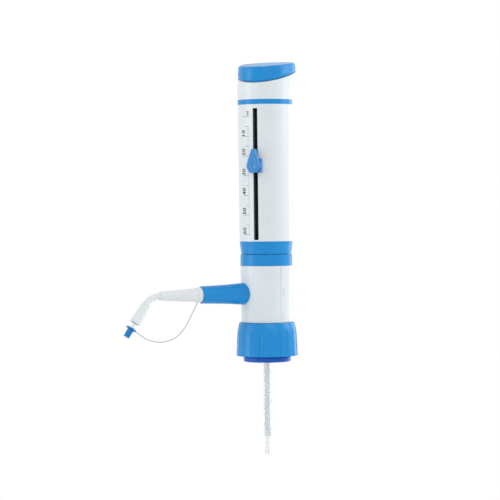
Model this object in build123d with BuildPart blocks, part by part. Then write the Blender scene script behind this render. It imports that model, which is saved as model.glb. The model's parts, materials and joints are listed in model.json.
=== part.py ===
from build123d import *
from math import acos, atan, cos, degrees, pi, radians, sin, tan
import os

# Bottle-top dispenser, 5 to 60 ml, in millimetres. +Z is up. The origin is the centre of the bottle
# thread's mouth, and the spout points along -X.

# Dosing: the bore gives the travel for each millilitre
set_volume_ml = 25.0
bore_radius = 13.0
travel_per_ml = 1.8835

# Clearances
running_gap = 0.3
running_fit = 0.08
slip_fit = 0.05

# Directions about Z, in degrees from +X
slot_angle = 223.0
seam_angle = 278.0

# Thread adapter and collar nut
thread_pitch = 4.0
thread_width = 1.6
adapter_flange_radius = 22.9
adapter_flange_height = 5.2
adapter_height = 22.0
adapter_thread_radius = 22.2
adapter_thread_root = 20.9
adapter_flange_round = 1.3
thread_lead_in = 2.8
bottle_thread_lead_in = 2.0
bottle_thread_radius = 19.0
bottle_thread_crest = 18.0
bottle_thread_depth = 17.0
adapter_throat_radius = 14.0
collar_lift = 0.5
collar_foot_radius = 29.7
collar_shoulder_radius = 28.8
collar_shoulder_drop = 12.0
collar_shoulder_swell = 0.4
collar_edge_round = 0.6
collar_top_radius = 26.6
collar_lip_thickness = 6.7
collar_thread_crest = 21.3
flute_count = 20
flute_radius = 2.2
flute_depth = 0.55
first_flute = 9.0
gasket_thickness = 2.0

# Body
shell_height = 54.4
shell_inset = 0.5
shell_taper = 0.4
shell_wall = 2.5
shell_floor = 2.0
body_ring_height = 10.9
body_ring_gap = 0.4
joint_overlap = 3.0
block_flange_thickness = 6.7
block_neck_radius = 18.5
barrel_socket_wall = 6.0
block_shoulder_lift = 0.2
latch_length = 8.0
latch_width = 0.6
latch_depth = 0.7
latch_offset = 3.2
latch_heights = (5.2, 28.8)
seam_groove_width = 0.5
seam_groove_depth = 0.4
shell_bore_step = 0.4
shell_spigot_wall = 1.2
body_ring_round = 0.4

# Barrel and guard
barrel_wall = 1.5
barrel_seat_depth = 11.4
barrel_stand_below_stop = 1.4
guard_clearance = 1.5
guard_wall = 2.0
guard_foot = 2.3
guard_foot_thickness = 2.0
stop_ring_thickness = 3.0
stop_below_housing_top = 6.3
oring_section = 0.95

# Upper housing
end_ring_height = 12.4
end_ring_taper = 1.4
housing_play = 5.2
housing_wall = 2.4
housing_taper = 0.8
housing_height = 131.3
band_height = 4.8
lip_low = 6.0
lip_high = 10.5
lip_slope = 1.0
slot_width = 4.8
slot_round = 0.8
slot_foot = 1.3
slot_head = 3.9
liner_thickness = 1.25
liner_half_width = 5.5
liner_opening = 4.0
liner_lip_inset = 0.2
liner_lap = 0.5
liner_notch_depth = 4.3

# Head and cap
parting_rise = 23.4
parting_slope = 0.3007
waist_rise = 9.5
waist_slope = 0.1
waist_widest_at = 1.0
waist_back_overhang = 0.3
waist_side_overhang = 0.2
head_side_overhang = 1.8
head_back_overhang = 2.2
head_widest_at = 8.0
cap_rise = 34.4
cap_slope = 0.137
cap_inset = 0.8
cap_round = 2.8
head_web_rise = 7.3
head_web = 4.0
head_cavity_inset = 3.2
cap_wall_over_cavity = 3.2
spigot_wall = 2.3
spigot_depth = 2.5

# Piston and rod
piston_gap = 0.25
piston_height = 16.0
piston_floor_gap = 1.0
seal_height = 1.8
seal_depth = 1.6
lower_seal_rise = 3.2
upper_seal_rise = 10.9
rod_radius = 6.0
stud_radius = 4.0
nut_height = 5.0
stud_past_nut = 1.0
stud_depth = 8.0
nut_flats = 13.0

# Pointer
block_width_left = 5.6
block_width_right = 7.1
block_half_height = 6.65
block_thickness = 2.8
block_groove = 1.0
block_groove_depth = 0.8
block_groove_inset = 3.0
block_round = 0.6
neck_half_height = 4.6
shoe_half_width = 4.2
shoe_half_height = 5.5
lever_hub_radius = 6.9
lever_thickness = 3.2
lever_reach = 16.1
lever_tip_width = 4.0
lever_tip_round = 0.9
lever_tail_inset = 0.5
lever_tail_from_hub = 9.4
dimple_radius = 3.0
dimple_depth = 0.9
small_dimple_radius = 1.7
small_dimple_depth = 0.5
small_dimple_rise = 6.2
lever_edge_round = 1.0
screw_radius = 1.2
screw_head_radius = 2.6
screw_head_height = 1.4
screw_end_inset = 0.9

# Valves
ball_radius = 3.5
ball_lift = 1.2
valve_cavity_radius = 5.5
seat_hole_radius = 2.6
seat_thickness = 3.0
seat_gap = 0.15
cage_thickness = 3.0
cage_holes = 4
cage_hole_radius = 1.1
cage_hole_circle = 3.2
discharge_ledge = 9.0
passage_radius = 3.0
vent_radius = 1.0
vent_from_axis = 12.0

# Filling tube
tube_radius = 4.0
tube_wall = 1.0
tube_insert = 15.7
tube_to_seat = 4.0
tube_below = 72.0
inner_tube_wall = 0.8
inner_tube_below = 92.0
inner_tube_length = 112.0
inner_tube_slant = 3.5

# Spout, along -X at this height
spout_height = 66.0
coupling_reach = 69.4
coupling_root_radius = 10.6
coupling_middle_radius = 9.2
coupling_flare = 14.0
coupling_tip_radius = 8.3
boss_radius = 8.5
boss_stand_out = 5.3
boss_to_jet = 4.0
jet_radius = 6.5
jet_taper = 37.8
jet_end_radius = 3.9
jet_tip_length = 3.0
jet_tip_step = 0.75
elbow_radius = 3.05
elbow_run = 8.9
droop = 55.8
spout_run = 29.8
spout_tip_radius = 5.3
elbow_end_inset = 1.0
spout_sleeve_length = 21.5
spout_sleeve_radius = 3.9
outlet_radius = 2.0
outlet_wall = 0.7
outlet_reach = 5.8
outlet_in_cap = 6.5
spout_cap_flange_radius = 5.1
spout_cap_flange = 1.2
spout_cap_radius = 3.1
spout_cap_end_radius = 2.9
spout_cap_length = 9.6
tether_ring_width = 4.2
tether_ring_wall = 0.7
tether_radius = 0.45
tether_tab_radius = 0.8
tether_tab = 0.9
tether_start_inset = 3.6
tether_stand_off = 0.5
tether_bends = [(0.16, 0.135), (0.33, 0.268), (0.51, 0.327), (0.7, 0.294), (0.86, 0.198), (0.94, 0.092)]
arc_share = 0.45

# Heights that follow from the stack
collar_bottom = adapter_flange_height + collar_lift
gasket_bottom = adapter_height + running_gap
block_bottom = gasket_bottom + gasket_thickness
block_flange_top = block_bottom + block_flange_thickness
collar_lip_bottom = block_flange_top + running_gap
collar_top = collar_lip_bottom + collar_lip_thickness
collar_height = collar_top - collar_bottom
body_bottom = collar_top + running_gap
shell_top = body_bottom + shell_height
block_shoulder = body_bottom + shell_floor + block_shoulder_lift
body_ring_top = shell_top + body_ring_height
block_top = shell_top + joint_overlap - running_gap
housing_unit_bottom = body_ring_top + body_ring_gap
housing_bottom = housing_unit_bottom + end_ring_height
housing_top = housing_bottom + housing_height
band_top = housing_top + band_height
stop_height = housing_top - stop_below_housing_top
pointer_height = stop_height - shoe_half_height - set_volume_ml * travel_per_ml
barrel_bottom = block_top - barrel_seat_depth
barrel_top = stop_height - barrel_stand_below_stop
web_bottom = band_top + head_web_rise
web_top = web_bottom + head_web
parting_height = band_top + parting_rise
cap_height = band_top + cap_rise
spigot_bottom = housing_top - spigot_depth

# Radii that follow from the fits
barrel_radius = bore_radius + barrel_wall
barrel_seat_radius = barrel_radius + slip_fit
guard_inner = barrel_radius + guard_clearance
guard_outer = guard_inner + guard_wall
guard_foot_radius = guard_outer + guard_foot
block_radius = barrel_radius + barrel_socket_wall
housing_bore = guard_outer + housing_play
housing_foot_radius = housing_bore + housing_wall
housing_top_radius = housing_foot_radius + housing_taper
end_ring_foot_radius = housing_foot_radius - end_ring_taper
shell_top_radius = housing_foot_radius - shell_inset
shell_foot_radius = shell_top_radius - shell_taper
stop_ring_radius = housing_bore - running_gap - slip_fit
guide_bore = guard_outer + running_gap
spigot_radius = housing_bore - slip_fit
shell_bore = shell_foot_radius - shell_wall + shell_bore_step
shell_spigot_radius = shell_bore + shell_spigot_wall
liner_outer = housing_bore - slip_fit
liner_inner = liner_outer - liner_thickness
shoe_outer = liner_inner - running_gap
shoe_inner = guard_outer + 2 * running_gap
neck_half_width = liner_opening / 2 - running_gap
block_inner = housing_top_radius + running_gap
block_outer = block_inner + block_thickness
lever_inner = block_outer + running_gap
lever_outer = lever_inner + lever_thickness
inner_tube_radius = tube_radius - tube_wall - running_fit
head_front = housing_top_radius
head_back = housing_top_radius + head_back_overhang
head_half_width = housing_top_radius + head_side_overhang
head_cavity = housing_bore - head_cavity_inset
coupling_bore = jet_radius + running_fit

# Distances along the spout that follow from the pieces before them
boss_reach = shell_foot_radius + boss_stand_out
coupling_middle = boss_reach + coupling_flare
jet_start = boss_reach + boss_to_jet
tether_ring_at = coupling_reach + 2 * running_gap
jet_straight_end = tether_ring_at + tether_ring_width + running_gap
jet_end = jet_straight_end + jet_taper
elbow_corner = jet_end + elbow_run


def about(angle):
    return cos(radians(angle)), sin(radians(angle))


def tilted(height, slope):
    """Plane through the axis at this height, rising by slope towards the back of the head."""
    x, y = about(slot_angle - 180)
    run = cos(atan(slope))
    rise = sin(atan(slope))
    return Plane(origin=(0, 0, height), x_dir=(x * run, y * run, rise), z_dir=(-x * rise, -y * rise, run))


def outward(angle, height):
    """Plane on the axis that faces outward at this angle, with its y along Z."""
    x, y = about(angle)
    return Plane(origin=(0, 0, height), x_dir=(-y, x, 0), z_dir=(x, y, 0))


def egg(height, slope, widest_at, front, back, half_width):
    """Outline of the head, made of a long half ellipse in front and a short one at the back."""
    stretch = 1 / cos(atan(slope))
    with BuildSketch(tilted(height, slope)) as outline:
        with BuildLine():
            centre = (widest_at * stretch, 0)
            EllipticalCenterArc(centre, (back - widest_at) * stretch, half_width, -90, arc_size=180)
            EllipticalCenterArc(centre, (front + widest_at) * stretch, half_width, 90, arc_size=180)
        make_face()
    return outline.sketch


def write(part, name):
    part.label = name
    export_step(part, f"parts/{name}.step")


os.makedirs("parts", exist_ok=True)
slot_plane = outward(slot_angle, pointer_height)
side_plane = Plane.XZ
spout_axis = Axis((0, 0, spout_height), (-1, 0, 0))

# Thread adapter: a male thread for the collar nut outside and the bottle's female thread inside
with BuildPart() as thread_adapter:
    with BuildSketch(side_plane):
        Polygon(
            (bottle_thread_radius, 0),
            (adapter_flange_radius, 0),
            (adapter_flange_radius, adapter_flange_height),
            (adapter_thread_root, adapter_flange_height),
            (adapter_thread_root, adapter_height),
            (adapter_throat_radius, adapter_height),
            (adapter_throat_radius, bottle_thread_depth),
            (bottle_thread_radius, bottle_thread_depth),
            align=None,
        )
    revolve(axis=Axis.Z)
    circles = thread_adapter.edges().filter_by(GeomType.CIRCLE)
    fillet(circles.filter_by(lambda e: abs(e.radius - adapter_flange_radius) < 0.01), adapter_flange_round)
    for turn in range(3):
        with BuildSketch(Plane.XY.offset(collar_bottom + thread_lead_in + turn * thread_pitch)):
            Circle(adapter_thread_radius)
            Circle(adapter_thread_root, mode=Mode.SUBTRACT)
        extrude(amount=thread_width)
        with BuildSketch(Plane.XY.offset(bottle_thread_lead_in + turn * thread_pitch)):
            Circle(bottle_thread_radius)
            Circle(bottle_thread_crest, mode=Mode.SUBTRACT)
        extrude(amount=thread_width)
write(thread_adapter.part, "thread_adapter")

# Collar nut: fluted grip, with a lip that hangs on the valve block's flange
with BuildPart() as collar_nut:
    with BuildSketch(side_plane):
        with BuildLine():
            Polyline(
                (collar_top_radius, collar_top),
                (block_neck_radius + running_gap, collar_top),
                (block_neck_radius + running_gap, collar_lip_bottom),
                (adapter_thread_radius + running_gap, collar_lip_bottom),
                (adapter_thread_radius + running_gap, collar_bottom),
                (collar_foot_radius, collar_bottom),
                (collar_shoulder_radius, collar_top - collar_shoulder_drop),
            )
            SagittaArc(
                (collar_shoulder_radius, collar_top - collar_shoulder_drop),
                (collar_top_radius, collar_top),
                -collar_shoulder_swell,
            )
        make_face()
    revolve(axis=Axis.Z)
    circles = collar_nut.edges().filter_by(GeomType.CIRCLE)
    rims = circles.filter_by(lambda edge: edge.radius > collar_top_radius - slip_fit).sort_by(Axis.Z)
    fillet([rims[0], rims[-1]], collar_edge_round)
    lean = (collar_foot_radius - collar_shoulder_radius) / (collar_height - collar_shoulder_drop)
    flute_reach = collar_foot_radius + flute_radius - flute_depth
    for flute in range(flute_count):
        x, y = about(slot_angle + first_flute + flute * 360 / flute_count)
        foot = (x * flute_reach, y * flute_reach, collar_bottom)
        with BuildSketch(Plane(origin=foot, z_dir=(-x * lean, -y * lean, 1))):
            Circle(flute_radius)
        extrude(amount=collar_height * 2, both=True, mode=Mode.SUBTRACT)
    for turn in range(3):
        with BuildSketch(Plane.XY.offset(collar_bottom + thread_lead_in + (turn + 0.5) * thread_pitch)):
            Circle(adapter_thread_radius + running_gap)
            Circle(collar_thread_crest, mode=Mode.SUBTRACT)
        extrude(amount=thread_width)
write(collar_nut.part, "collar_nut")

# Gasket between the valve block and the rim below it
with BuildPart() as bottle_gasket:
    with BuildSketch(Plane.XY.offset(gasket_bottom)):
        Circle(adapter_thread_root)
        Circle(adapter_throat_radius, mode=Mode.SUBTRACT)
    extrude(amount=gasket_thickness)
write(bottle_gasket.part, "bottle_gasket")

# Suction side of the valve block, from the filling tube up
tube_top = block_bottom + tube_insert
suction_ledge = tube_top + tube_to_seat
suction_seat_top = suction_ledge + seat_thickness
ball_stand = (ball_radius**2 - seat_hole_radius**2) ** 0.5 + seat_gap
suction_ball_height = suction_seat_top + ball_stand
suction_cage_bottom = suction_ball_height + ball_radius + ball_lift + running_gap
suction_cavity_top = suction_cage_bottom + cage_thickness

# Discharge side, from the axis outward
discharge_seat_end = discharge_ledge + seat_thickness
discharge_ball_at = discharge_seat_end + ball_stand
discharge_cage_start = discharge_ball_at + ball_radius + ball_lift + running_gap
discharge_cage_end = discharge_cage_start + cage_thickness

with BuildPart() as valve_block:
    with BuildSketch(side_plane):
        Polygon(
            (0, block_bottom),
            (collar_thread_crest, block_bottom),
            (collar_thread_crest, block_flange_top),
            (block_neck_radius, block_flange_top),
            (block_neck_radius, block_shoulder),
            (block_radius, block_shoulder),
            (block_radius, block_top),
            (0, block_top),
            align=None,
        )
    revolve(axis=Axis.Z)
    with BuildSketch(Plane.YZ.offset(-boss_reach)):
        with Locations((0, spout_height)):
            Circle(boss_radius)
    extrude(amount=boss_reach)
    with BuildSketch(side_plane):
        Polygon(
            (0, block_bottom),
            (tube_radius + slip_fit, block_bottom),
            (tube_radius + slip_fit, suction_ledge),
            (valve_cavity_radius, suction_ledge),
            (valve_cavity_radius, suction_cavity_top),
            (passage_radius, suction_cavity_top),
            (passage_radius, spout_height + passage_radius),
            (bore_radius, barrel_bottom),
            (barrel_seat_radius, barrel_bottom),
            (barrel_seat_radius, block_top),
            (0, block_top),
            align=None,
        )
    revolve(axis=Axis.Z, mode=Mode.SUBTRACT)
    with BuildSketch(Plane.XY.offset(barrel_bottom + barrel_seat_depth / 2 - oring_section - slip_fit)):
        Circle(barrel_radius + 2 * oring_section + 2 * slip_fit)
    extrude(amount=2 * (oring_section + slip_fit), mode=Mode.SUBTRACT)
    with BuildSketch(Plane.YZ.offset(-boss_reach)):
        with Locations((0, spout_height)):
            Circle(valve_cavity_radius)
    extrude(amount=boss_reach - discharge_ledge, mode=Mode.SUBTRACT)
    with BuildSketch(Plane.YZ.offset(-discharge_ledge)):
        with Locations((0, spout_height)):
            Circle(passage_radius)
    extrude(amount=discharge_ledge, mode=Mode.SUBTRACT)
    vent_height = body_bottom + shell_floor + 3 * vent_radius
    with BuildSketch(Plane.XY.offset(block_bottom)):
        with Locations((0, vent_from_axis)):
            Circle(vent_radius)
    extrude(amount=vent_height - block_bottom, mode=Mode.SUBTRACT)
    with BuildSketch(Plane.XZ.offset(-vent_from_axis)):
        with Locations((0, vent_height)):
            Circle(vent_radius)
    extrude(amount=-block_radius, mode=Mode.SUBTRACT)
write(valve_block.part, "valve_block")

# Each valve is a ring seat, a ball and a cage with a ring of holes
with BuildPart() as suction_seat:
    with BuildSketch(Plane.XY.offset(suction_ledge)):
        Circle(valve_cavity_radius - slip_fit)
        Circle(seat_hole_radius, mode=Mode.SUBTRACT)
    extrude(amount=seat_thickness)
write(suction_seat.part, "suction_seat")

with BuildPart() as suction_ball:
    with Locations((0, 0, suction_ball_height)):
        Sphere(ball_radius)
write(suction_ball.part, "suction_ball")

with BuildPart() as suction_cage:
    with BuildSketch(Plane.XY.offset(suction_cage_bottom)):
        Circle(valve_cavity_radius - slip_fit)
        with PolarLocations(cage_hole_circle, cage_holes):
            Circle(cage_hole_radius, mode=Mode.SUBTRACT)
    extrude(amount=cage_thickness)
write(suction_cage.part, "suction_cage")

with BuildPart() as discharge_seat:
    with BuildSketch(Plane.YZ.offset(-discharge_seat_end)):
        with Locations((0, spout_height)):
            Circle(valve_cavity_radius - slip_fit)
            Circle(seat_hole_radius, mode=Mode.SUBTRACT)
    extrude(amount=seat_thickness)
write(discharge_seat.part, "discharge_seat")

with BuildPart() as discharge_ball:
    with Locations((-discharge_ball_at, 0, spout_height)):
        Sphere(ball_radius)
write(discharge_ball.part, "discharge_ball")

with BuildPart() as discharge_cage:
    with BuildSketch(Plane.YZ.offset(-discharge_cage_end)):
        with Locations((0, spout_height)):
            Circle(valve_cavity_radius - slip_fit)
            with PolarLocations(cage_hole_circle, cage_holes):
                Circle(cage_hole_radius, mode=Mode.SUBTRACT)
    extrude(amount=cage_thickness)
write(discharge_cage.part, "discharge_cage")

# Telescopic filling tube
with BuildPart() as filling_tube:
    with BuildSketch(Plane.XY.offset(-tube_below)):
        Circle(tube_radius)
        Circle(tube_radius - tube_wall, mode=Mode.SUBTRACT)
    extrude(amount=tube_below + tube_top)
write(filling_tube.part, "filling_tube_upper")

with BuildPart() as filling_tube_lower:
    with BuildSketch(Plane.XY.offset(-inner_tube_below)):
        Circle(inner_tube_radius)
        Circle(inner_tube_radius - inner_tube_wall, mode=Mode.SUBTRACT)
    extrude(amount=inner_tube_length)
    with BuildSketch(side_plane):
        Polygon(
            (-inner_tube_radius, -inner_tube_below),
            (inner_tube_radius, -inner_tube_below),
            (-inner_tube_radius, -inner_tube_below + inner_tube_slant),
            align=None,
        )
    extrude(amount=inner_tube_radius, both=True, mode=Mode.SUBTRACT)
write(filling_tube_lower.part, "filling_tube_lower")

# Body shell, split at the seam into two halves that close round the valve block
with BuildPart() as shell:
    with BuildSketch(side_plane):
        Polygon(
            (block_neck_radius + running_gap, body_bottom),
            (shell_foot_radius, body_bottom),
            (shell_top_radius, shell_top),
            (shell_spigot_radius, shell_top),
            (shell_spigot_radius, shell_top + joint_overlap),
            (shell_bore, shell_top + joint_overlap),
            (shell_bore, body_bottom + shell_floor),
            (block_neck_radius + running_gap, body_bottom + shell_floor),
            align=None,
        )
    revolve(axis=Axis.Z)
    with BuildSketch(Plane.YZ.offset(-shell_top_radius - 1)):
        with Locations((0, spout_height)):
            Circle(boss_radius + slip_fit)
    extrude(amount=shell_top_radius, mode=Mode.SUBTRACT)
    for latch_height in latch_heights:
        latch_plane = outward(seam_angle, body_bottom + latch_height)
        with BuildSketch(latch_plane.offset(shell_foot_radius - latch_depth)):
            with Locations((latch_offset, 0)):
                Rectangle(latch_width, latch_length)
        extrude(amount=2 * latch_depth + 1, mode=Mode.SUBTRACT)
    for groove_angle in (seam_angle, seam_angle + 180):
        groove_plane = outward(groove_angle, body_bottom + shell_height / 2)
        with BuildSketch(groove_plane.offset(shell_foot_radius - seam_groove_depth)):
            Rectangle(seam_groove_width, 2 * shell_height)
        extrude(amount=2 * seam_groove_depth + shell_taper, mode=Mode.SUBTRACT)
seam_plane = outward(seam_angle + 90, 0)
with BuildPart() as body_shell_right:
    add(shell.part)
    split(bisect_by=seam_plane, keep=Keep.TOP)
write(body_shell_right.part, "body_shell_right")

with BuildPart() as body_shell_left:
    add(shell.part)
    split(bisect_by=seam_plane, keep=Keep.BOTTOM)
write(body_shell_left.part, "body_shell_left")

# Fixed ring that closes the body and holds the guard's foot
with BuildPart() as body_ring:
    with BuildSketch(side_plane):
        Polygon(
            (shell_top_radius, shell_top),
            (shell_top_radius, body_ring_top),
            (guard_outer + slip_fit, body_ring_top),
            (guard_outer + slip_fit, block_top + guard_foot_thickness + slip_fit),
            (guard_foot_radius + slip_fit, block_top + guard_foot_thickness + slip_fit),
            (guard_foot_radius + slip_fit, shell_top + joint_overlap + slip_fit),
            (shell_spigot_radius + slip_fit, shell_top + joint_overlap + slip_fit),
            (shell_spigot_radius + slip_fit, shell_top),
            align=None,
        )
    revolve(axis=Axis.Z)
    circles = body_ring.edges().filter_by(GeomType.CIRCLE)
    fillet(circles.filter_by(lambda e: abs(e.radius - shell_top_radius) < 0.01), body_ring_round)
write(body_ring.part, "body_ring")

# Glass barrel, its O-ring, the guard sleeve around it and the stop ring on the guard
with BuildPart() as glass_barrel:
    with BuildSketch(Plane.XY.offset(barrel_bottom)):
        Circle(barrel_radius)
        Circle(bore_radius, mode=Mode.SUBTRACT)
    extrude(amount=barrel_top - barrel_bottom)
write(glass_barrel.part, "glass_barrel")

with BuildPart() as barrel_oring:
    with BuildSketch(side_plane):
        with Locations((barrel_seat_radius + oring_section, barrel_bottom + barrel_seat_depth / 2)):
            Circle(oring_section)
    revolve(axis=Axis.Z)
write(barrel_oring.part, "barrel_oring")

stop_seat_radius = guard_inner + guard_wall / 2
with BuildPart() as barrel_guard:
    with BuildSketch(side_plane):
        Polygon(
            (guard_inner, block_top),
            (guard_foot_radius, block_top),
            (guard_foot_radius, block_top + guard_foot_thickness),
            (guard_outer, block_top + guard_foot_thickness),
            (guard_outer, stop_height),
            (stop_seat_radius, stop_height),
            (stop_seat_radius, stop_height + stop_ring_thickness),
            (guard_inner, stop_height + stop_ring_thickness),
            align=None,
        )
    revolve(axis=Axis.Z)
write(barrel_guard.part, "barrel_guard")

with BuildPart() as stop_ring:
    with BuildSketch(Plane.XY.offset(stop_height)):
        Circle(stop_ring_radius)
        Circle(stop_seat_radius + slip_fit, mode=Mode.SUBTRACT)
    extrude(amount=stop_ring_thickness)
    with BuildSketch(outward(slot_angle, stop_height + stop_ring_thickness / 2)):
        Rectangle(2 * (liner_half_width + 2 * running_gap), 2 * stop_ring_thickness)
    extrude(amount=stop_ring_radius + 1, mode=Mode.SUBTRACT)
write(stop_ring.part, "stop_ring")

# Upper housing with its slot, end ring and accent band
with BuildPart() as scale_housing:
    with BuildSketch(side_plane):
        Polygon(
            (housing_bore, housing_bottom),
            (housing_foot_radius, housing_bottom),
            (housing_top_radius, housing_top),
            (housing_bore, housing_top),
            align=None,
        )
    revolve(axis=Axis.Z)
    slot_bottom = housing_bottom + slot_foot
    slot_top = housing_top - slot_head
    with BuildSketch(outward(slot_angle, (slot_bottom + slot_top) / 2)):
        RectangleRounded(slot_width, slot_top - slot_bottom, slot_round)
    extrude(amount=housing_top_radius + 1, mode=Mode.SUBTRACT)
write(scale_housing.part, "scale_housing")

with BuildPart() as slot_liner:
    with BuildSketch(Plane.XY.offset(slot_bottom - liner_lap)):
        Circle(liner_outer)
        Circle(liner_inner, mode=Mode.SUBTRACT)
    extrude(amount=slot_top - slot_bottom + 2 * liner_lap)
    with BuildSketch(outward(slot_angle, (slot_bottom + slot_top) / 2)):
        Rectangle(2 * liner_half_width, slot_top - slot_bottom + 2 * liner_lap)
    extrude(amount=liner_outer + 1, mode=Mode.INTERSECT)
    with BuildSketch(outward(slot_angle, (slot_bottom + slot_top) / 2)):
        RectangleRounded(slot_width - 2 * slip_fit, slot_top - slot_bottom - 2 * slip_fit, slot_round)
    extrude(amount=housing_top_radius)
    with BuildSketch(side_plane):
        Polygon(
            (liner_inner, housing_bottom),
            (housing_foot_radius - liner_lip_inset, housing_bottom),
            (housing_top_radius - liner_lip_inset, housing_top),
            (liner_inner, housing_top),
            align=None,
        )
    revolve(axis=Axis.Z, mode=Mode.INTERSECT)
    with BuildSketch(outward(slot_angle, (slot_bottom + slot_top) / 2)):
        Rectangle(liner_opening, slot_top - slot_bottom - 2 * running_gap)
    extrude(amount=housing_top_radius, mode=Mode.SUBTRACT)
write(slot_liner.part, "slot_liner")

with BuildPart() as housing_end_ring:
    with BuildSketch(side_plane):
        Polygon(
            (end_ring_foot_radius, housing_unit_bottom),
            (housing_foot_radius, housing_bottom),
            (spigot_radius, housing_bottom),
            (spigot_radius, housing_bottom + joint_overlap + slot_foot),
            (liner_inner - running_gap, housing_bottom + joint_overlap + slot_foot),
            (liner_inner - running_gap, housing_unit_bottom + lip_high),
            (guide_bore, housing_unit_bottom + lip_high),
            (guide_bore, housing_unit_bottom + lip_low),
            (liner_inner, housing_unit_bottom + lip_low - lip_slope),
            (liner_inner, housing_unit_bottom),
            align=None,
        )
    revolve(axis=Axis.Z)
    with BuildSketch(outward(slot_angle, housing_bottom + joint_overlap + slot_foot)):
        Rectangle(2 * (liner_half_width + running_gap), 2 * liner_notch_depth)
    extrude(amount=spigot_radius + slip_fit, mode=Mode.SUBTRACT)
write(housing_end_ring.part, "housing_end_ring")

with BuildPart() as accent_band:
    with BuildSketch(Plane.XY.offset(housing_top)):
        Circle(housing_top_radius)
        Circle(spigot_radius + slip_fit, mode=Mode.SUBTRACT)
    extrude(amount=band_height)
write(accent_band.part, "accent_band")

# Head: the sleeve leans back and widens up to the sloping parting face, and the cap closes it
with BuildPart() as head_sleeve:
    foot_outline = egg(band_top, 0, 0, housing_top_radius, housing_top_radius, housing_top_radius)
    waist_outline = egg(
        band_top + waist_rise,
        waist_slope,
        waist_widest_at,
        head_front,
        housing_top_radius + waist_back_overhang,
        housing_top_radius + waist_side_overhang,
    )
    parting_outline = egg(
        parting_height,
        parting_slope,
        head_widest_at,
        head_front,
        head_back,
        head_half_width,
    )
    loft(sections=[foot_outline, waist_outline, parting_outline])
    with BuildSketch(Plane.XY.offset(spigot_bottom)):
        Circle(spigot_radius)
    extrude(amount=band_top - spigot_bottom)
    with BuildSketch(Plane.XY.offset(spigot_bottom)):
        Circle(spigot_radius - spigot_wall)
    extrude(amount=web_bottom - spigot_bottom, mode=Mode.SUBTRACT)
    with BuildSketch(Plane.XY.offset(web_top)):
        Circle(head_cavity)
    extrude(amount=cap_rise, mode=Mode.SUBTRACT)
    with BuildSketch(Plane.XY.offset(web_bottom)):
        Circle(stud_radius + slip_fit)
    extrude(amount=head_web, mode=Mode.SUBTRACT)
write(head_sleeve.part, "head_sleeve")

with BuildPart() as top_cap:
    crown_outline = egg(
        cap_height,
        cap_slope,
        head_widest_at,
        head_front - cap_inset,
        head_back - cap_inset,
        head_half_width - cap_inset,
    )
    loft(sections=[parting_outline, crown_outline])
    fillet(top_cap.faces().sort_by(Axis.Z)[-1].edges(), cap_round)
    with BuildSketch(Plane.XY.offset(web_top)):
        Circle(head_cavity - slip_fit)
    extrude(amount=parting_rise - head_web_rise - head_web)
    with BuildSketch(Plane.XY.offset(web_top)):
        Circle(head_cavity - spigot_wall)
    cavity_top = cap_height - head_front * cap_slope - cap_wall_over_cavity
    extrude(amount=cavity_top - web_top, mode=Mode.SUBTRACT)
write(top_cap.part, "top_cap")

# Piston, its seals, rod and nut
piston_bottom = barrel_bottom + piston_floor_gap
piston_top = piston_bottom + piston_height
seal_heights = (piston_bottom + lower_seal_rise, piston_bottom + upper_seal_rise)
with BuildPart() as piston:
    with BuildSketch(Plane.XY.offset(piston_bottom)):
        Circle(bore_radius - piston_gap)
    extrude(amount=piston_height)
    with BuildSketch(Plane.XY.offset(piston_top - stud_depth)):
        Circle(stud_radius + slip_fit)
    extrude(amount=stud_depth, mode=Mode.SUBTRACT)
    for seal_bottom in seal_heights:
        with BuildSketch(Plane.XY.offset(seal_bottom - slip_fit)):
            Circle(bore_radius)
            Circle(bore_radius - piston_gap - seal_depth, mode=Mode.SUBTRACT)
        extrude(amount=seal_height + 2 * slip_fit, mode=Mode.SUBTRACT)
write(piston.part, "piston")

for seal_name, seal_bottom in zip(("piston_seal_lower", "piston_seal_upper"), seal_heights):
    with BuildPart() as piston_seal:
        with BuildSketch(Plane.XY.offset(seal_bottom)):
            Circle(bore_radius - running_fit)
            Circle(bore_radius - piston_gap - seal_depth + slip_fit, mode=Mode.SUBTRACT)
        extrude(amount=seal_height)
    write(piston_seal.part, seal_name)

with BuildPart() as piston_rod:
    with BuildSketch(Plane.XY.offset(piston_top)):
        Circle(rod_radius)
    extrude(amount=web_bottom - piston_top)
    with BuildSketch(Plane.XY.offset(piston_top - stud_depth + slip_fit)):
        Circle(stud_radius)
    extrude(amount=stud_depth)
    with BuildSketch(Plane.XY.offset(web_bottom)):
        Circle(stud_radius)
    extrude(amount=head_web + nut_height + stud_past_nut)
write(piston_rod.part, "piston_rod")

with BuildPart() as rod_nut:
    with BuildSketch(Plane.XY.offset(web_top)):
        RegularPolygon(nut_flats / 2, 6, major_radius=False)
        Circle(stud_radius + slip_fit, mode=Mode.SUBTRACT)
    extrude(amount=nut_height)
write(rod_nut.part, "rod_nut")

# Pointer: a block outside the slot, its neck through the slot and a stop shoe behind it
with BuildPart() as pointer_block:
    with BuildSketch(slot_plane):
        with Locations(((block_width_right - block_width_left) / 2, 0)):
            block_width = block_width_left + block_width_right
            RectangleRounded(block_width, 2 * block_half_height, block_round)
    extrude(amount=block_outer)
    with BuildSketch(slot_plane.offset(block_outer)):
        with Locations((block_width_right - block_groove_inset, 0)):
            Rectangle(block_groove, 2 * block_half_height)
    extrude(amount=-block_groove_depth, mode=Mode.SUBTRACT)
    with BuildSketch(Plane.XY.offset(pointer_height - 2 * block_half_height)):
        Circle(block_inner)
    extrude(amount=4 * block_half_height, mode=Mode.SUBTRACT)
    with BuildSketch(slot_plane.offset(shoe_outer + slip_fit)):
        Rectangle(2 * neck_half_width, 2 * neck_half_height)
    extrude(amount=block_outer - shoe_outer - block_groove)
    with BuildSketch(slot_plane):
        Circle(screw_radius + slip_fit)
    extrude(amount=block_outer, mode=Mode.SUBTRACT)
write(pointer_block.part, "pointer_block")

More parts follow.
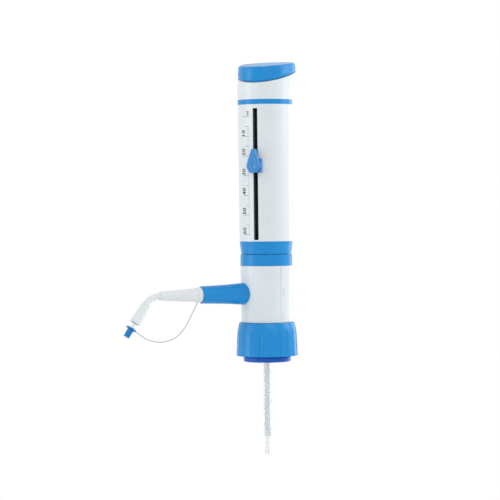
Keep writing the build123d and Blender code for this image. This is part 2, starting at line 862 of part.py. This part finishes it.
with BuildPart() as stop_shoe:
    with BuildSketch(Plane.XY.offset(pointer_height - shoe_half_height)):
        Circle(shoe_outer)
        Circle(shoe_inner, mode=Mode.SUBTRACT)
    extrude(amount=2 * shoe_half_height)
    with BuildSketch(slot_plane):
        Rectangle(2 * shoe_half_width, 2 * shoe_half_height)
    extrude(amount=shoe_outer + 1, mode=Mode.INTERSECT)
    with BuildSketch(slot_plane):
        Circle(screw_radius + slip_fit)
    extrude(amount=shoe_outer + 1, mode=Mode.SUBTRACT)
    with BuildSketch(slot_plane):
        Circle(screw_head_radius + slip_fit)
    extrude(amount=shoe_inner + screw_head_height + slip_fit, mode=Mode.SUBTRACT)
write(stop_shoe.part, "stop_shoe")

with BuildPart() as clamp_lever:
    with BuildSketch(slot_plane.offset(lever_inner)):
        Circle(lever_hub_radius)
        with Locations((0, lever_reach - lever_tip_width / 2)):
            RectangleRounded(lever_tip_width, lever_tip_width, lever_tip_round)
        make_hull()
    extrude(amount=lever_thickness)
    outer_face = clamp_lever.faces().sort_by(Axis((0, 0, 0), slot_plane.z_dir))[-1]
    fillet(outer_face.edges(), lever_edge_round)
    tail_length = lever_reach - lever_tail_from_hub
    with BuildSketch(slot_plane.offset(block_inner + lever_tail_inset)):
        with Locations((0, lever_reach - tail_length / 2)):
            RectangleRounded(lever_tip_width, tail_length, lever_tip_round)
    extrude(amount=lever_thickness)
    for rise, radius, depth in (
        (0, dimple_radius, dimple_depth),
        (small_dimple_rise, small_dimple_radius, small_dimple_depth),
    ):
        ball = (radius**2 + depth**2) / (2 * depth)
        with Locations(slot_plane.offset(lever_outer + ball - depth) * Location((0, rise, 0))):
            Sphere(ball, mode=Mode.SUBTRACT)
    with BuildSketch(slot_plane):
        Circle(screw_radius + running_fit)
    extrude(amount=lever_outer - dimple_depth - screw_end_inset, mode=Mode.SUBTRACT)
write(clamp_lever.part, "clamp_lever")

with BuildPart() as clamp_screw:
    with BuildSketch(slot_plane.offset(shoe_inner + slip_fit)):
        Circle(screw_radius)
    extrude(amount=lever_outer - dimple_depth - screw_end_inset - running_gap - shoe_inner)
    with BuildSketch(slot_plane.offset(shoe_inner + slip_fit)):
        Circle(screw_head_radius)
    extrude(amount=screw_head_height - slip_fit)
write(clamp_screw.part, "clamp_screw")

# Spout: the coupling is fixed, and everything past it swivels about the spout's axis
with BuildPart() as nozzle_coupling:
    with BuildSketch(side_plane):
        Polygon(
            (-shell_foot_radius / 2, spout_height + boss_radius + slip_fit),
            (-shell_foot_radius / 2, spout_height + coupling_root_radius),
            (-shell_foot_radius, spout_height + coupling_root_radius),
            (-coupling_middle, spout_height + coupling_middle_radius),
            (-coupling_reach, spout_height + coupling_tip_radius),
            (-coupling_reach, spout_height + coupling_bore),
            (-boss_reach - running_gap, spout_height + coupling_bore),
            (-boss_reach - running_gap, spout_height + boss_radius + slip_fit),
            align=None,
        )
    revolve(axis=spout_axis)
    with BuildSketch(side_plane):
        Polygon(
            (0, body_bottom),
            (shell_foot_radius + slip_fit, body_bottom),
            (shell_top_radius + slip_fit, shell_top),
            (0, shell_top),
            align=None,
        )
    revolve(axis=Axis.Z, mode=Mode.SUBTRACT)
write(nozzle_coupling.part, "nozzle_coupling")

down = (-cos(radians(droop)), 0, -sin(radians(droop)))
elbow_bend = (elbow_run - slip_fit) / tan(radians(droop / 2))
corner = Vector(-elbow_corner, 0, spout_height)
spout_tip = corner + Vector(*down) * spout_run
outlet_end = spout_tip + Vector(*down) * (outlet_reach + spout_cap_flange + outlet_in_cap)
tip_plane = Plane(origin=spout_tip, x_dir=(0, 1, 0), z_dir=down)

with BuildPart() as jet_sleeve:
    with BuildSketch(side_plane):
        Polygon(
            (-jet_start, spout_height + elbow_radius),
            (-jet_start, spout_height + jet_radius),
            (-jet_straight_end, spout_height + jet_radius),
            (-jet_end + jet_tip_length, spout_height + jet_end_radius + jet_tip_step),
            (-jet_end, spout_height + jet_end_radius),
            (-jet_end, spout_height + elbow_radius),
            align=None,
        )
    revolve(axis=spout_axis)
write(jet_sleeve.part, "jet_sleeve")

with BuildPart() as elbow_tube:
    with BuildLine() as elbow_path:
        FilletPolyline(
            (-jet_start, 0, spout_height),
            corner,
            spout_tip - Vector(*down) * elbow_end_inset,
            radius=elbow_bend,
        )
    with BuildSketch(Plane(origin=(-jet_start, 0, spout_height), z_dir=(-1, 0, 0))):
        Circle(elbow_radius - slip_fit)
        Circle(outlet_radius + slip_fit, mode=Mode.SUBTRACT)
    sweep()
write(elbow_tube.part, "elbow_tube")

with BuildPart() as spout_sleeve:
    with BuildSketch(tip_plane.offset(-spout_sleeve_length)):
        Circle(spout_sleeve_radius)
    with BuildSketch(tip_plane):
        Circle(spout_tip_radius)
    loft()
    with BuildSketch(tip_plane):
        Circle(elbow_radius)
    extrude(amount=-spout_sleeve_length, mode=Mode.SUBTRACT)
write(spout_sleeve.part, "spout_sleeve")

with BuildPart() as discharge_tube:
    with BuildLine() as outlet_path:
        FilletPolyline((-jet_start, 0, spout_height), corner, outlet_end, radius=elbow_bend)
    with BuildSketch(Plane(origin=(-jet_start, 0, spout_height), z_dir=(-1, 0, 0))):
        Circle(outlet_radius)
        Circle(outlet_radius - outlet_wall, mode=Mode.SUBTRACT)
    sweep()
write(discharge_tube.part, "discharge_tube")

with BuildPart() as spout_cap:
    with BuildSketch(tip_plane.offset(outlet_reach)):
        Circle(spout_cap_flange_radius)
    extrude(amount=spout_cap_flange)
    with BuildSketch(tip_plane.offset(outlet_reach + spout_cap_flange)):
        Circle(spout_cap_radius)
    with BuildSketch(tip_plane.offset(outlet_reach + spout_cap_length)):
        Circle(spout_cap_end_radius)
    loft()
    with BuildSketch(tip_plane.offset(outlet_reach)):
        Circle(outlet_radius + slip_fit)
    extrude(amount=spout_cap_flange + outlet_in_cap + running_gap, mode=Mode.SUBTRACT)
write(spout_cap.part, "spout_cap")

# Tether from the ring to the spout cap, in the plane of the spout. Each bend lies at a share of the
# distance between its ends, and sags below the line between them by another share of it.
across = Vector(sin(radians(droop)), 0, -cos(radians(droop)))
ring_underside = spout_height - jet_radius - tether_ring_wall
tether_start = Vector(-tether_ring_at - tether_start_inset, 0, ring_underside - tether_stand_off)
cap_flange_middle = spout_tip + Vector(*down) * (outlet_reach + spout_cap_flange / 2)
tether_end = cap_flange_middle + across * (spout_cap_flange_radius + tether_stand_off)
chord = tether_end - tether_start
sag = Vector(-chord.Z, 0, chord.X)
tether_points = [tether_start]
for share, drop in tether_bends:
    tether_points.append(tether_start + chord * share + sag * drop)
tether_points.append(tether_end)
first_run = tether_points[1] - tether_points[0]

with BuildPart() as tether_ring:
    with BuildSketch(Plane.YZ.offset(-tether_ring_at - tether_ring_width)):
        with Locations((0, spout_height)):
            Circle(jet_radius + tether_ring_wall)
            Circle(jet_radius, mode=Mode.SUBTRACT)
    extrude(amount=tether_ring_width)
    with BuildSketch(Plane(origin=tether_points[0], z_dir=-first_run)):
        Circle(tether_tab_radius)
    extrude(amount=tether_tab)
write(tether_ring.part, "tether_ring")


def corner_radii(points):
    """The largest even arc for each corner of a route."""
    radii = []
    for before, here, after in zip(points, points[1:], points[2:]):
        turn = (here - before).get_angle(after - here)
        run = min((here - before).length, (after - here).length)
        radii.append(arc_share * run / tan(radians(turn / 2)))
    return radii


tether_radii = corner_radii(tether_points)
print("tether radii", [round(r, 1) for r in tether_radii])
with BuildPart() as tether:
    with BuildLine() as tether_path:
        FilletPolyline(*tether_points, radius=tether_radii)
    with BuildSketch(Plane(origin=tether_points[0], z_dir=first_run)):
        Circle(tether_radius)
    sweep()
tether_length = sum(edge.length for edge in tether_path.edges())
tether_volume = pi * tether_radius**2 * tether_length
print("tether length", round(tether_length, 1))
print("tether volume", round(tether.part.volume, 2), "of", round(tether_volume, 2))
write(tether.part, "tether")
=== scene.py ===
import json
import math

import bmesh
import bpy
from mathutils import Matrix, Vector


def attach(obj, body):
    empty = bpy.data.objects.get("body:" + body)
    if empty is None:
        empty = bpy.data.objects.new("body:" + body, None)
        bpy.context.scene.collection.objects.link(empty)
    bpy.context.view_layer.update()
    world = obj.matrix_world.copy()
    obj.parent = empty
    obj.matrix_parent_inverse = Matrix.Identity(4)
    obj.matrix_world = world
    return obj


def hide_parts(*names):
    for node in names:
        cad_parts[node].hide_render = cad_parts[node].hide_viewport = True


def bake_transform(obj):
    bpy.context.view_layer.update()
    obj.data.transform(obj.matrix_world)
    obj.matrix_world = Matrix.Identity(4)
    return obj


# Bottle-top dispenser. Metres, +Z up, the spout along -X, the slot and its scale on the side towards -X and -Y.

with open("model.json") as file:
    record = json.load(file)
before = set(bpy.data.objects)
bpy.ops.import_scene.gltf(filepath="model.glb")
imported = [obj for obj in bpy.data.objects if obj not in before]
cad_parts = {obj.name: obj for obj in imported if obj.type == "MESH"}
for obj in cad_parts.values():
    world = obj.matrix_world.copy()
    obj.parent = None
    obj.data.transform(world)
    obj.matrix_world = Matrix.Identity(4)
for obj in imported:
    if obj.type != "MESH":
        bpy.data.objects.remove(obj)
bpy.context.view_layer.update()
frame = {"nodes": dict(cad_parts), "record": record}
nodes = frame["nodes"]

MM = 0.001
HOUSING_FOOT = 116.4 * MM
HOUSING_HEIGHT = 131.3 * MM
HOUSING_FOOT_RADIUS = 25.6 * MM
HOUSING_TAPER = 0.8 * MM
POINTER_HEIGHT = 188.8 * MM
POINTER_ML = 25
TRAVEL_PER_ML = 1.8835 * MM
FLOOR_HEIGHT = -0.30
FLOOR_RADIUS = 12.0
FLOOR_FADE = (0.45, 0.9)
WORLD_LIGHT = 0.62


# Camera: a long lens from the front left, near the middle of the housing in height

CAMERA_AZIMUTH = math.radians(-25.6)
CAMERA_DISTANCE = 2.09
CAMERA_HEIGHT = 0.1556
CAMERA_LENS = 155.6
CAMERA_YAW = math.radians(0.43)
CAMERA_PITCH = math.radians(-1.31)
CAMERA_ROLL = math.radians(-0.54)


def add_camera():
    data = bpy.data.cameras.new("camera")
    data.lens = CAMERA_LENS
    data.sensor_width = 36
    data.clip_start = 0.05
    data.clip_end = 50
    camera = bpy.data.objects.new("camera", data)
    bpy.context.scene.collection.objects.link(camera)
    a = CAMERA_AZIMUTH
    camera.location = (math.sin(a) * CAMERA_DISTANCE, -math.cos(a) * CAMERA_DISTANCE, CAMERA_HEIGHT)
    upright = Matrix.Rotation(a + CAMERA_YAW, 4, "Z") @ Matrix.Rotation(math.radians(90) + CAMERA_PITCH, 4, "X")
    camera.matrix_world = Matrix.Translation(camera.location) @ upright @ Matrix.Rotation(CAMERA_ROLL, 4, "Z")
    bpy.context.scene.camera = camera


add_camera()


# Materials

def material(name):
    m = bpy.data.materials.new(name)
    m.use_nodes = True
    tree = m.node_tree
    return m, tree, tree.nodes["Principled BSDF"]


def noise(tree, scale, detail=3.0, roughness=0.55, coordinates=None):
    node = tree.nodes.new("ShaderNodeTexNoise")
    node.inputs["Scale"].default_value = scale
    node.inputs["Detail"].default_value = detail
    node.inputs["Roughness"].default_value = roughness
    tree.links.new(coordinates or object_coordinates(tree), node.inputs["Vector"])
    return node.outputs["Fac"]


def object_coordinates(tree):
    node = tree.nodes.get("Texture Coordinate") or tree.nodes.new("ShaderNodeTexCoord")
    return node.outputs["Object"]


def remap(tree, value, low, high, from_low=0.3, from_high=0.7):
    node = tree.nodes.new("ShaderNodeMapRange")
    node.inputs["From Min"].default_value = from_low
    node.inputs["From Max"].default_value = from_high
    node.inputs["To Min"].default_value = low
    node.inputs["To Max"].default_value = high
    tree.links.new(value, node.inputs["Value"])
    return node.outputs["Result"]


def mix_colour(tree, factor, first, second):
    node = tree.nodes.new("ShaderNodeMix")
    node.data_type = "RGBA"
    if isinstance(factor, float):
        node.inputs["Factor"].default_value = factor
    else:
        tree.links.new(factor, node.inputs["Factor"])
    for socket, value in ((node.inputs[6], first), (node.inputs[7], second)):
        if isinstance(value, tuple):
            socket.default_value = (*value, 1)
        else:
            tree.links.new(value, socket)
    return node.outputs[2]


def bump(tree, height, strength, distance):
    node = tree.nodes.new("ShaderNodeBump")
    node.inputs["Strength"].default_value = strength
    node.inputs["Distance"].default_value = distance
    tree.links.new(height, node.inputs["Height"])
    return node


def srgb(*values):
    return tuple(v / 12.92 if v <= 0.04045 else ((v + 0.055) / 1.055) ** 2.4 for v in (x / 255 for x in values))


def moulded(name, colour, shade, roughness, grain, coat=0.0, transmission=0.0, subsurface=0.0, ior=1.49):
    """Moulded plastic: slow colour drift, a fine spark-eroded grain and soft flow waves in its gloss."""
    m, tree, shader = material(name)
    drift = noise(tree, 38.0, 2.0)
    tree.links.new(mix_colour(tree, remap(tree, drift, 0.0, 1.0), colour, shade), shader.inputs["Base Color"])
    fine = noise(tree, 2600.0, 3.0)
    waves = noise(tree, 130.0, 2.0)
    tree.links.new(remap(tree, waves, roughness * 0.85, roughness * 1.15), shader.inputs["Roughness"])
    wavy = bump(tree, waves, 0.10, 0.0002)
    grainy = bump(tree, fine, grain, 0.00004)
    tree.links.new(wavy.outputs["Normal"], grainy.inputs["Normal"])
    tree.links.new(grainy.outputs["Normal"], shader.inputs["Normal"])
    shader.inputs["IOR"].default_value = ior
    shader.inputs["Coat Weight"].default_value = coat
    shader.inputs["Coat Roughness"].default_value = 0.12
    shader.inputs["Transmission Weight"].default_value = transmission
    shader.inputs["Subsurface Weight"].default_value = subsurface
    shader.inputs["Subsurface Radius"].default_value = (0.002, 0.002, 0.002)
    shader.inputs["Subsurface Scale"].default_value = 1.0
    return m


def clear(name, colour, roughness, ior, transmission):
    """Drawn tube or glass: faint lengthwise drawing marks."""
    m, tree, shader = material(name)
    mapping = tree.nodes.new("ShaderNodeMapping")
    mapping.inputs["Scale"].default_value = (1.0, 1.0, 0.04)
    tree.links.new(object_coordinates(tree), mapping.inputs["Vector"])
    streaks = noise(tree, 900.0, 2.0, coordinates=mapping.outputs["Vector"])
    lighter = tuple(min(1.0, c * 1.03) for c in colour)
    tree.links.new(mix_colour(tree, remap(tree, streaks, 0.0, 1.0), colour, lighter), shader.inputs["Base Color"])
    tree.links.new(remap(tree, streaks, roughness * 0.8, roughness * 1.2), shader.inputs["Roughness"])
    marks = bump(tree, streaks, 0.02, 0.00002)
    tree.links.new(marks.outputs["Normal"], shader.inputs["Normal"])
    shader.inputs["IOR"].default_value = ior
    shader.inputs["Transmission Weight"].default_value = transmission
    return m


def metal(name, colour, roughness):
    """Turned steel: rings of fine tool marks."""
    m, tree, shader = material(name)
    turned = noise(tree, 5200.0, 2.0)
    tree.links.new(mix_colour(tree, remap(tree, turned, 0.0, 1.0), colour, tuple(c * 0.9 for c in colour)),
                   shader.inputs["Base Color"])
    tree.links.new(remap(tree, turned, roughness * 0.8, roughness * 1.2), shader.inputs["Roughness"])
    shader.inputs["Metallic"].default_value = 1.0
    return m


BLUE = srgb(12, 147, 220)
BLUE_SHADE = srgb(4, 140, 214)
WHITE = srgb(232, 239, 243)
WHITE_SHADE = srgb(227, 235, 239)

blue = moulded("blue_plastic", BLUE, BLUE_SHADE, 0.28, 0.10, ior=1.41)
deep_blue = moulded("deep_blue_plastic", srgb(2, 96, 196), srgb(0, 88, 188), 0.28, 0.10, ior=1.38)
cap_blue = moulded("cap_blue_plastic", srgb(12, 134, 206), srgb(6, 126, 198), 0.34, 0.12, ior=1.41)
lever_blue = moulded("lever_blue_plastic", srgb(44, 144, 216), srgb(34, 130, 206), 0.16, 0.04, coat=0.6)
white = moulded("white_plastic", WHITE, WHITE_SHADE, 0.34, 0.14, coat=0.15)
black = moulded("black_plastic", srgb(96, 106, 102), srgb(88, 98, 94), 0.55, 0.25)
dark_guard = moulded("dark_guard_plastic", srgb(60, 68, 65), srgb(53, 61, 58), 0.40, 0.20)
ptfe = moulded("ptfe", srgb(236, 238, 238), srgb(228, 231, 232), 0.42, 0.12, subsurface=0.1)
frosted = moulded(
    "frosted_plastic", srgb(243, 248, 250), srgb(237, 243, 246), 0.32, 0.02, transmission=0.06, ior=1.40
)
gasket = moulded("gasket", srgb(210, 214, 214), srgb(198, 203, 204), 0.62, 0.35)
rubber = moulded("rubber", srgb(34, 34, 35), srgb(26, 26, 27), 0.68, 0.40)
tube = clear("clear_tube", (0.93, 0.95, 0.96), 0.10, 1.34, 0.92)
glass = clear("glass", (0.95, 0.97, 0.97), 0.02, 1.47, 1.0)
ceramic = moulded("ceramic", srgb(240, 238, 230), srgb(232, 230, 222), 0.12, 0.02, coat=0.5)
steel = metal("steel", (0.62, 0.63, 0.64), 0.24)
ink = moulded("scale_ink", srgb(52, 58, 60), srgb(42, 48, 50), 0.55, 0.10)
tether_grey = moulded("tether_plastic", srgb(188, 192, 206), srgb(178, 182, 198), 0.36, 0.04)

FINISH = {
    "blue": blue,
    "white": white,
    "deep_blue": deep_blue,
    "black": black,
    "dark_guard": dark_guard,
    "ptfe": ptfe,
    "frosted": frosted,
    "clear_tube": tube,
    "glass": glass,
    "ceramic": ceramic,
    "steel": steel,
    "rubber": rubber,
    "gasket": gasket,
}
OWN_FINISH = {"pointer_block": lever_blue, "clamp_lever": lever_blue, "spout_cap": cap_blue}
for row in frame["record"]["subparts"]:
    finish = OWN_FINISH.get(row["node"], FINISH[row["material_slot"]])
    mesh = nodes[row["node"]].data
    mesh.materials.clear()
    mesh.materials.append(finish)


# Pieces

def keep(name, bm, finish, body, smooth=True):
    mesh = bpy.data.meshes.new(name)
    bmesh.ops.recalc_face_normals(bm, faces=bm.faces)
    bm.to_mesh(mesh)
    bm.free()
    for face in mesh.polygons:
        face.use_smooth = smooth
    mesh.materials.append(finish)
    piece = bpy.data.objects.new(name, mesh)
    bpy.context.scene.collection.objects.link(piece)
    if body:
        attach(piece, body)
    return piece


# Scale print, laid on the tapered housing

INK_LIFT = 0.04 * MM
FINE_TICK = 0.22 * MM
BOLD_TICK = 0.30 * MM
NUMBER_HEIGHT = 4.6 * MM
NUMBER_RISE = 0.6 * MM
UNIT_HEIGHT = 3.0 * MM
UNIT_RISE = 1.2 * MM
LETTER_BOLDNESS = 0.022
LETTER_SPACING = 1.06


def on_housing(angle, height, lift=INK_LIFT):
    radius = HOUSING_FOOT_RADIUS + HOUSING_TAPER * (height - HOUSING_FOOT) / HOUSING_HEIGHT + lift
    return Vector((radius * math.cos(angle), radius * math.sin(angle), height))


def scale_height(millilitres):
    return POINTER_HEIGHT + (POINTER_ML - millilitres) * TRAVEL_PER_ML


def tick(bm, first, last, height, width):
    """A printed line round the housing from one angle to another."""
    steps = max(2, int((last - first) / 0.02))
    rows = []
    for n in range(steps + 1):
        angle = first + (last - first) * n / steps
        rows.append([bm.verts.new(on_housing(angle, height + side * width / 2)) for side in (-1, 1)])
    for a, b in zip(rows, rows[1:]):
        bm.faces.new((a[0], b[0], b[1], a[1]))


def lettering(bm, text, start_angle, start_height, cap_height):
    """Text that reads upward, its letters' feet towards the slot. start is the foot of its first letter."""
    curve = bpy.data.curves.new("lettering", "FONT")
    curve.body = text
    curve.size = 1.0
    curve.space_character = LETTER_SPACING
    curve.offset = LETTER_BOLDNESS
    holder = bpy.data.objects.new("lettering", curve)
    bpy.context.scene.collection.objects.link(holder)
    mesh = bpy.data.meshes.new_from_object(holder.evaluated_get(bpy.context.evaluated_depsgraph_get()))
    letters = bmesh.new()
    letters.from_mesh(mesh)
    bpy.data.objects.remove(holder)
    bpy.data.meshes.remove(mesh)
    bmesh.ops.remove_doubles(letters, verts=letters.verts, dist=0.0005)
    tallest = max(v.co.y for v in letters.verts)
    first = min(v.co.x for v in letters.verts)
    for n in range(1, 8):
        cut = tallest * n / 8
        geometry = letters.verts[:] + letters.edges[:] + letters.faces[:]
        bmesh.ops.bisect_plane(letters, geom=geometry, plane_co=(0, cut, 0), plane_no=(0, 1, 0))
    size = cap_height / tallest
    copies = {}
    for v in letters.verts:
        angle = start_angle - v.co.y * size / HOUSING_FOOT_RADIUS
        copies[v] = bm.verts.new(on_housing(angle, start_height + (v.co.x - first) * size))
    for f in letters.faces:
        bm.faces.new([copies[v] for v in f.verts])
    letters.free()


TICK_END = math.radians(208.3)
MINOR_START = math.radians(203.2)
MIDDLE_START = math.radians(198.0)
MAJOR_START = math.radians(190.5)
NUMBER_FOOT = math.radians(196.6)
UNIT_FOOT = math.radians(207.6)


def scale_print():
    bm = bmesh.new()
    for ml in range(5, 61):
        start = MAJOR_START if ml % 10 == 0 else MIDDLE_START if ml % 5 == 0 else MINOR_START
        tick(bm, start, TICK_END, scale_height(ml), FINE_TICK if ml % 5 else BOLD_TICK)
    tick(bm, MAJOR_START, TICK_END, scale_height(0), BOLD_TICK)
    for ml in range(10, 61, 10):
        lettering(bm, str(ml), NUMBER_FOOT, scale_height(ml) + NUMBER_RISE, NUMBER_HEIGHT)
    lettering(bm, "ml", UNIT_FOOT, scale_height(0) + UNIT_RISE, UNIT_HEIGHT)
    return keep("scale_print", bm, ink, "plunger_unit", smooth=False)


scale_print()


# Tether: one smooth line from the ring on the jet to the outlet cap

TETHER_RADIUS = 0.00045
TETHER_POINTS = [
    (-0.0736, 0.0, 0.0583),
    (-0.0803, 0.0, 0.0457),
    (-0.0877, 0.0, 0.0330),
    (-0.0976, 0.0, 0.0246),
    (-0.1105, 0.0, 0.0219),
    (-0.1230, 0.0, 0.0239),
    (-0.1308, 0.0, 0.0286),
    (-0.1369, 0.0, 0.0329),
]


def add_tether():
    curve = bpy.data.curves.new("tether_line", "CURVE")
    curve.dimensions = "3D"
    curve.resolution_u = 12
    spline = curve.splines.new("NURBS")
    spline.points.add(len(TETHER_POINTS) - 1)
    for point, place in zip(spline.points, TETHER_POINTS):
        point.co = (*place, 1)
    spline.order_u = 3
    spline.use_endpoint_u = True
    line = bpy.data.objects.new("tether_line", curve)
    bpy.context.scene.collection.objects.link(line)
    bare = bpy.data.meshes.new_from_object(line.evaluated_get(bpy.context.evaluated_depsgraph_get()))
    curve.bevel_depth = TETHER_RADIUS
    curve.bevel_resolution = 4
    curve.use_fill_caps = True
    bpy.context.view_layer.update()
    mesh = bpy.data.meshes.new_from_object(line.evaluated_get(bpy.context.evaluated_depsgraph_get()))
    bpy.data.objects.remove(line)
    mesh.materials.clear()
    mesh.materials.append(tether_grey)
    for face in mesh.polygons:
        face.use_smooth = True
    tether = bpy.data.objects.new("tether_strap", mesh)
    bpy.context.scene.collection.objects.link(tether)
    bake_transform(tether)
    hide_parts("tether")


add_tether()


# Floor, backdrop and light

def add_floor():
    bm = bmesh.new()
    bmesh.ops.create_circle(bm, cap_ends=True, radius=FLOOR_RADIUS, segments=96)
    bmesh.ops.translate(bm, verts=bm.verts, vec=(0, 0, FLOOR_HEIGHT))
    m, tree, shader = material("floor")
    output = tree.nodes["Material Output"]
    shader.inputs["Base Color"].default_value = (0.94, 0.94, 0.94, 1)
    shader.inputs["Roughness"].default_value = 0.9
    rays = tree.nodes.new("ShaderNodeLightPath")
    seen = tree.nodes.new("ShaderNodeMath")
    seen.operation = "MAXIMUM"
    tree.links.new(rays.outputs["Is Camera Ray"], seen.inputs[0])
    shine = tree.nodes.new("ShaderNodeMath")
    shine.operation = "MAXIMUM"
    tree.links.new(rays.outputs["Is Glossy Ray"], shine.inputs[0])
    tree.links.new(rays.outputs["Is Transmission Ray"], shine.inputs[1])
    tree.links.new(shine.outputs[0], seen.inputs[1])
    distance = tree.nodes.new("ShaderNodeVectorMath")
    distance.operation = "LENGTH"
    flat = tree.nodes.new("ShaderNodeVectorMath")
    flat.operation = "MULTIPLY"
    flat.inputs[1].default_value = (1, 1, 0)
    tree.links.new(object_coordinates(tree), flat.inputs[0])
    tree.links.new(flat.outputs[0], distance.inputs[0])
    far = remap(tree, distance.outputs["Value"], 0.0, 1.0, *FLOOR_FADE)
    share = tree.nodes.new("ShaderNodeMath")
    share.operation = "MULTIPLY"
    tree.links.new(far, share.inputs[0])
    tree.links.new(seen.outputs[0], share.inputs[1])
    pale = tree.nodes.new("ShaderNodeEmission")
    pale.inputs["Color"].default_value = (1, 1, 1, 1)
    mix = tree.nodes.new("ShaderNodeMixShader")
    tree.links.new(share.outputs[0], mix.inputs[0])
    tree.links.new(shader.outputs[0], mix.inputs[1])
    tree.links.new(pale.outputs[0], mix.inputs[2])
    tree.links.new(mix.outputs[0], output.inputs["Surface"])
    floor = keep("floor", bm, m, None, smooth=False)


def add_world():
    world = bpy.data.worlds.new("studio")
    bpy.context.scene.world = world
    world.use_nodes = True
    tree = world.node_tree
    background = tree.nodes["Background"]
    background.inputs["Color"].default_value = (1, 1, 1, 1)
    rays = tree.nodes.new("ShaderNodeLightPath")
    first = tree.nodes.new("ShaderNodeMath")
    first.operation = "MAXIMUM"
    tree.links.new(rays.outputs["Is Camera Ray"], first.inputs[0])
    tree.links.new(rays.outputs["Is Glossy Ray"], first.inputs[1])
    second = tree.nodes.new("ShaderNodeMath")
    second.operation = "MAXIMUM"
    tree.links.new(first.outputs[0], second.inputs[0])
    tree.links.new(rays.outputs["Is Transmission Ray"], second.inputs[1])
    strength = remap(tree, second.outputs[0], WORLD_LIGHT, 1.0, 0.0, 1.0)
    tree.links.new(strength, background.inputs["Strength"])


def add_lamp(name, azimuth, height, distance, size, power):
    """A soft box that faces the object. Azimuth 0 is on the camera's side of the object along -Y."""
    data = bpy.data.lights.new(name, "AREA")
    data.shape = "RECTANGLE"
    data.size = size[0]
    data.size_y = size[1]
    data.energy = power
    lamp = bpy.data.objects.new(name, data)
    bpy.context.scene.collection.objects.link(lamp)
    a = math.radians(azimuth)
    lamp.location = (math.sin(a) * distance, -math.cos(a) * distance, height)
    aim = Vector((0, 0, 0.12)) - lamp.location
    lamp.rotation_euler = aim.to_track_quat("-Z", "Y").to_euler()


add_floor()
add_world()
add_lamp("key", 65.0, 0.9, 1.5, (0.8, 1.4), 9.0)
add_lamp("rim", 108.0, 0.3, 1.3, (0.5, 1.6), 3.5)
add_lamp("side", -100.0, 0.5, 1.4, (0.6, 1.4), 5.0)
add_lamp("front", -10.0, 1.2, 1.8, (1.2, 0.8), 5.0)

scene = bpy.context.scene
scene.view_settings.view_transform = "Standard"
